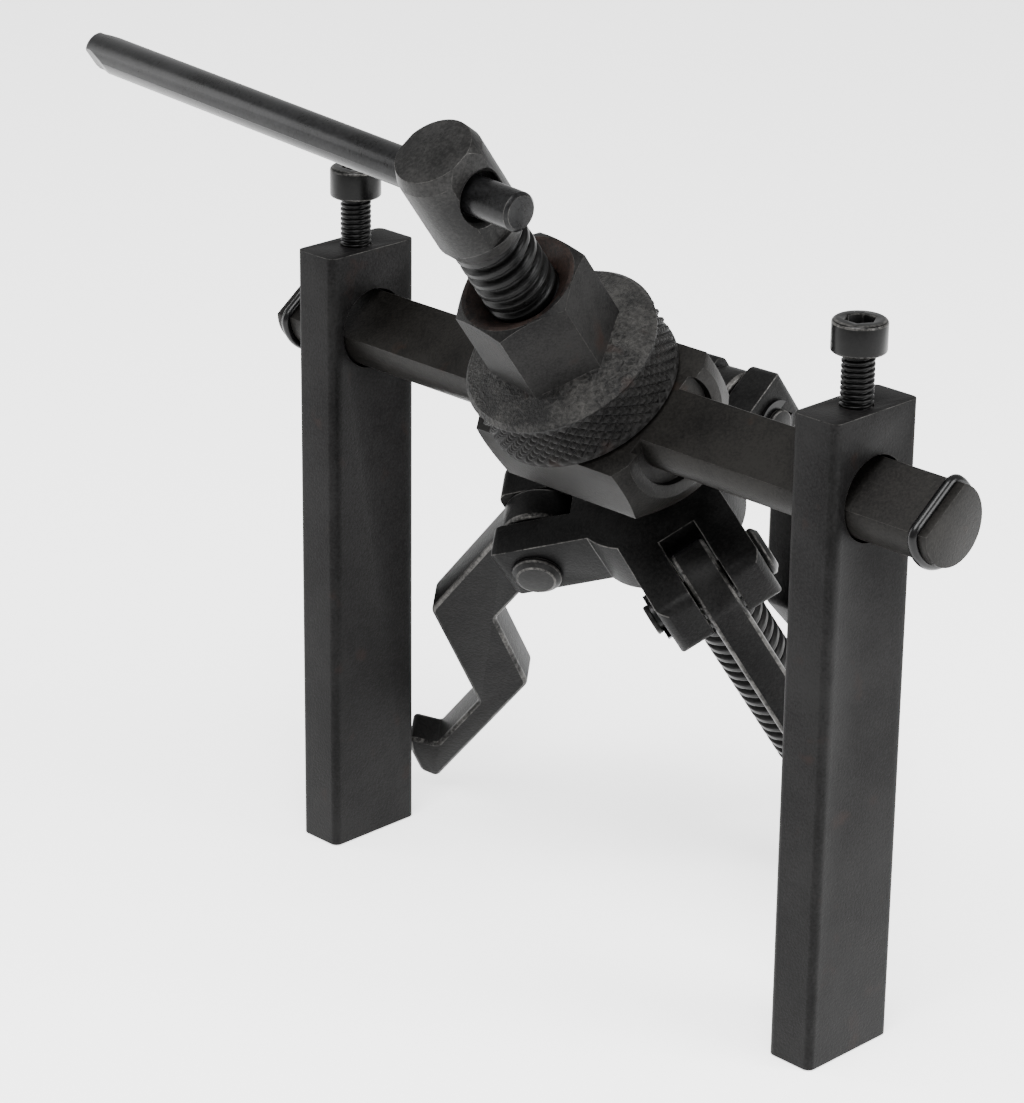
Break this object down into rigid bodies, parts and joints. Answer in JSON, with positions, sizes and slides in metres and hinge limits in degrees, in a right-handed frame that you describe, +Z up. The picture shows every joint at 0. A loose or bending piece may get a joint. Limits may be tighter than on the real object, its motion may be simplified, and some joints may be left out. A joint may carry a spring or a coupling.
{
  "type": "internal bearing puller",
  "caption": "Internal bearing puller: outward-hooked jaws on a threaded carrier, forcing screw with T handle and knurled nut through a crossbar that stands on clamped legs.",
  "frame": {"origin": "centre of the left leg's foot face", "axes": "+X along the crossbar towards the right leg, +Z up the legs, +Y to the back; the screw leans towards -Y"},
  "size_m": [0.1918, 0.1331, 0.1696],
  "materials": {
    "crossbar_steel": "black oxide, satin",
    "leg_steel": "black oxide, satin, rolled bar",
    "cap_screw_steel": "black oxide, semi-gloss",
    "spring_steel": "black oxide, semi-gloss",
    "nut_steel": "black oxide, satin, knurled rim",
    "screw_steel": "black oxide, rolled thread",
    "handle_steel": "black oxide, polished round bar",
    "cast_steel": "black oxide, as cast",
    "jaw_steel": "black oxide, as forged",
    "pin_steel": "black oxide, turned"
  },
  "bodies": {
    "crossbar": {"crossbar": "crossbar_steel", "left_retaining_ring": "spring_steel", "right_retaining_ring": "spring_steel"},
    "left_leg": {"left_leg": "leg_steel"},
    "right_leg": {"right_leg": "leg_steel"},
    "left_clamp_screw": {"left_clamp_screw": "cap_screw_steel"},
    "right_clamp_screw": {"right_clamp_screw": "cap_screw_steel"},
    "jaw_carrier": {"jaw_carrier": "cast_steel", "jaw_pin_1": "pin_steel", "jaw_pin_2": "pin_steel", "jaw_pin_3": "pin_steel", "jaw_pin_clip_1": "spring_steel", "jaw_pin_clip_2": "spring_steel", "jaw_pin_clip_3": "spring_steel"},
    "knurled_nut": {"knurled_nut": "nut_steel"},
    "forcing_screw": {"forcing_screw": "screw_steel"},
    "tommy_bar": {"tommy_bar": "handle_steel"},
    "jaw_1": {"jaw_1": "jaw_steel"},
    "jaw_2": {"jaw_2": "jaw_steel"},
    "jaw_3": {"jaw_3": "jaw_steel"}
  },
  "joints": [
    {"name": "left_leg_slide", "type": "slide", "parent": "crossbar", "child": "left_leg", "axis": [1, 0, 0], "range_m": [-0.005, 0.007]},
    {"name": "right_leg_slide", "type": "slide", "parent": "crossbar", "child": "right_leg", "axis": [1, 0, 0], "range_m": [-0.023, 0.012]},
    {"name": "left_clamp_lift", "type": "slide", "parent": "left_leg", "child": "left_clamp_screw", "axis": [0, 0, 1], "range_m": [0, 0.006]},
    {"name": "right_clamp_lift", "type": "slide", "parent": "right_leg", "child": "right_clamp_screw", "axis": [0, 0, 1], "range_m": [0, 0.006]},
    {"name": "carrier_travel", "type": "slide", "parent": "crossbar", "child": "jaw_carrier", "axis": [0, -0.5934, 0.8049], "range_m": [-0.013, 0.003]},
    {"name": "nut_turn", "type": "hinge", "parent": "crossbar", "child": "knurled_nut", "pos_m": [0.0655, 0, 0.109], "axis": [0, -0.5934, 0.8049], "range_deg": [-361, 1561]},
    {"name": "screw_turn", "type": "hinge", "parent": "jaw_carrier", "child": "forcing_screw", "pos_m": [0.0655, 0, 0.109], "axis": [0, -0.5934, 0.8049], "continuous": true},
    {"name": "tommy_bar_slide", "type": "slide", "parent": "forcing_screw", "child": "tommy_bar", "axis": [0.998, -0.0505, -0.0373], "range_m": [-0.008, 0.082]},
    {"name": "jaw_1_swing", "type": "hinge", "parent": "jaw_carrier", "child": "jaw_1", "pos_m": [0.04453, 0.00841, 0.07594], "axis": [-0.5225, 0.6863, 0.506], "range_deg": [-46, 1.5]},
    {"name": "jaw_2_swing", "type": "hinge", "parent": "jaw_carrier", "child": "jaw_2", "pos_m": [0.08712, 0.0093, 0.0766], "axis": [-0.4772, -0.7074, -0.5215], "range_deg": [-4, 44]},
    {"name": "jaw_3_swing", "type": "hinge", "parent": "jaw_carrier", "child": "jaw_3", "pos_m": [0.06486, 0.03855, 0.09816], "axis": [0.9997, 0.0211, 0.0155], "range_deg": [-1.5, 47]}
  ],
  "couplings": [
    {"joint": "nut_turn", "follows": "carrier_travel", "rad_per_m": -2094.4}
  ]
}
